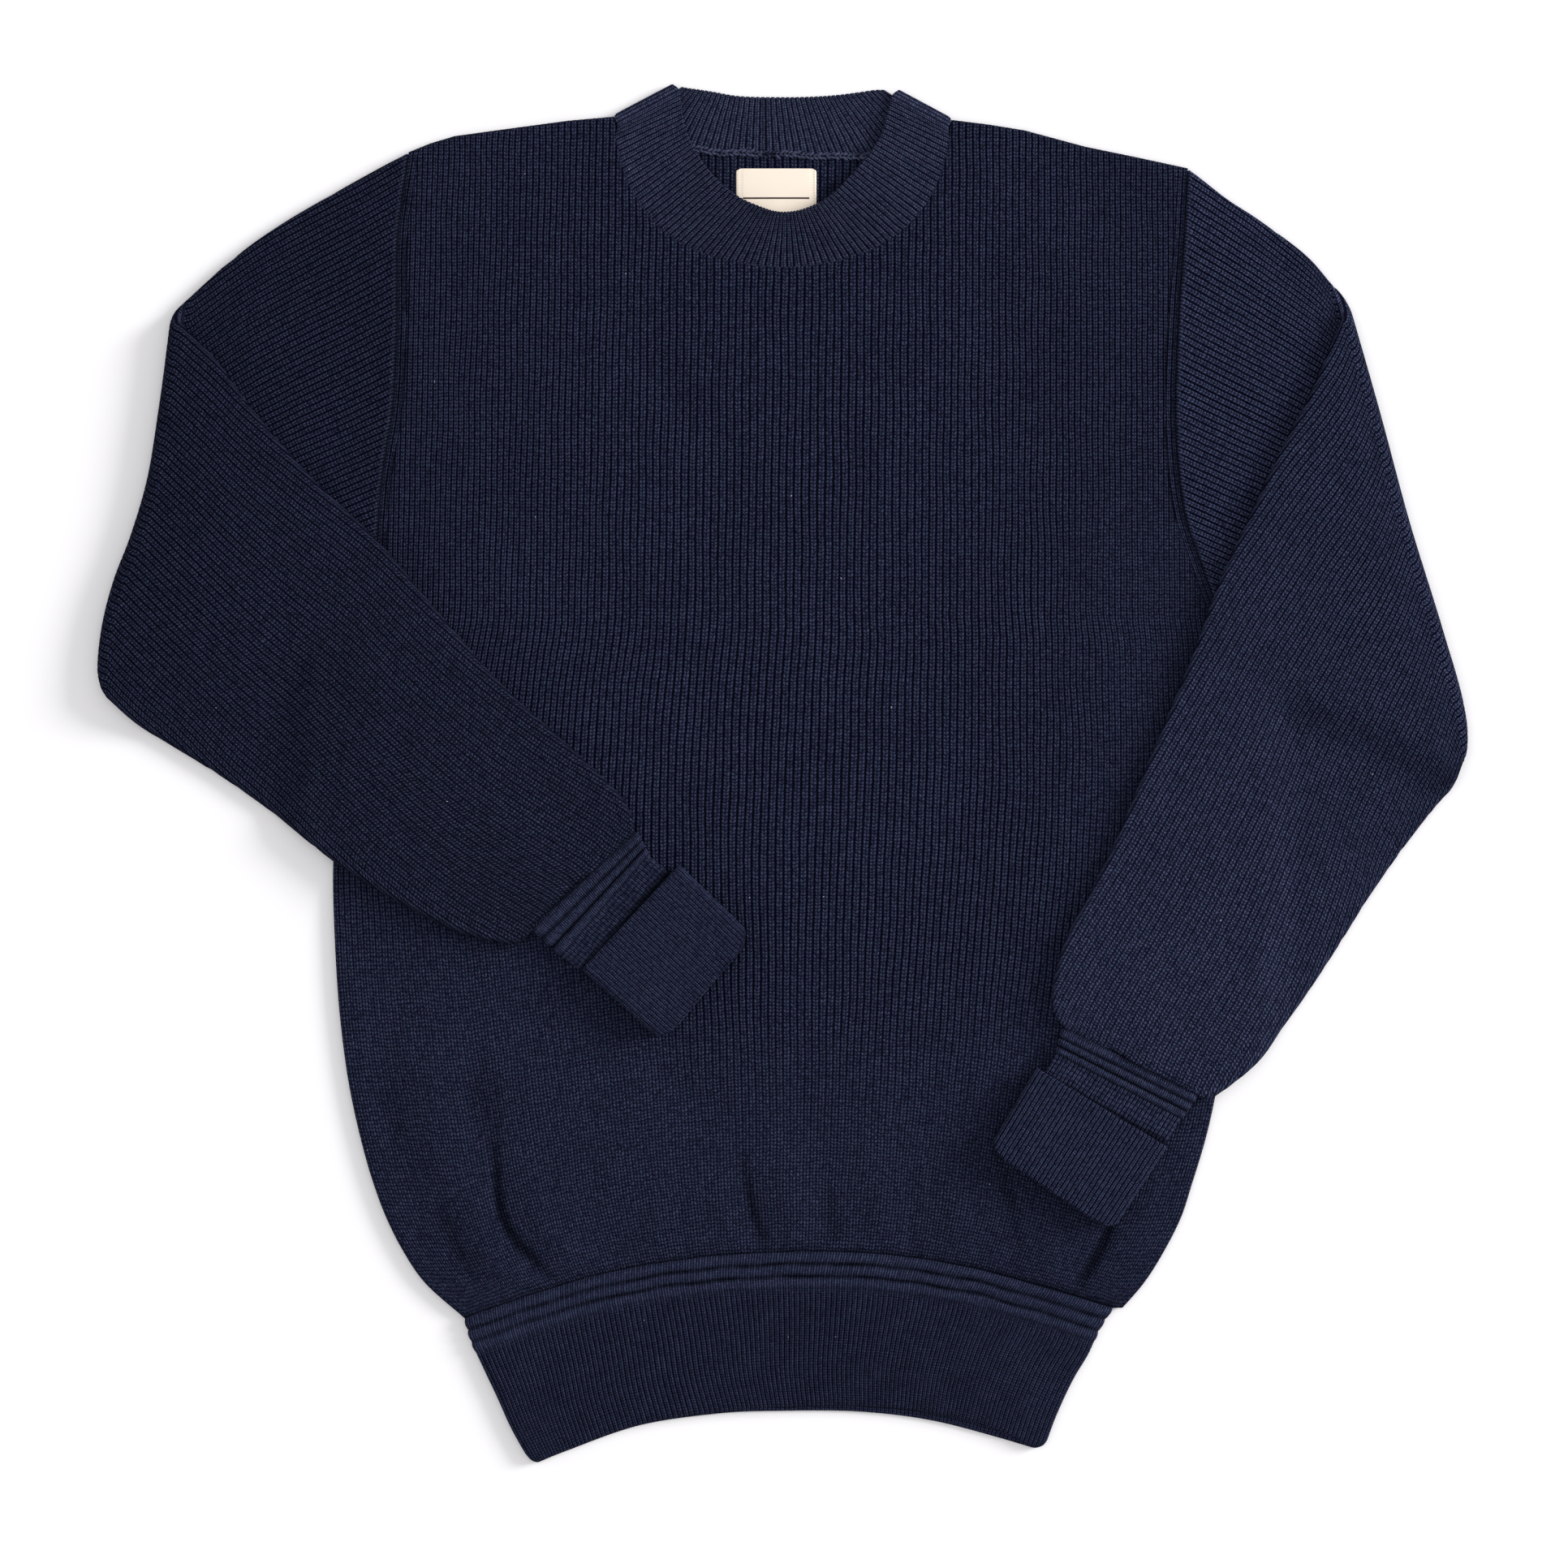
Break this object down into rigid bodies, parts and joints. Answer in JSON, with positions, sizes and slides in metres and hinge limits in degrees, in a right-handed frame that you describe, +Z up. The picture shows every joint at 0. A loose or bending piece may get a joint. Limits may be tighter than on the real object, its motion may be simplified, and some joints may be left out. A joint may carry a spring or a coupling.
{
  "type": "crewneck sweater",
  "caption": "Long-sleeved rib-knit crewneck sweater laid flat, front up, with both forearms folded in over the body, cuffs turned back and a deep ribbed hem.",
  "frame": {"origin": "on the surface that the sweater lies on, under the middle of its outline", "axes": "+X to the right as seen from above, towards the wearer's left sleeve; +Y towards the neck; +Z up, out of the front"},
  "size_m": [0.7766, 0.7831, 0.0218],
  "materials": {
    "knit": "matte rib knit of soft dark navy yarn",
    "ribbing": "matte fine ribbing of the same navy yarn",
    "label": "smooth woven cream tape"
  },
  "bodies": {
    "root": {"front": "knit", "back": "knit", "sleeve_left": "knit", "sleeve_right": "knit", "collar": "ribbing", "cuff_left": "ribbing", "cuff_right": "ribbing", "hem_front": "ribbing", "hem_back": "ribbing", "label": "label"}
  },
  "joints": []
}
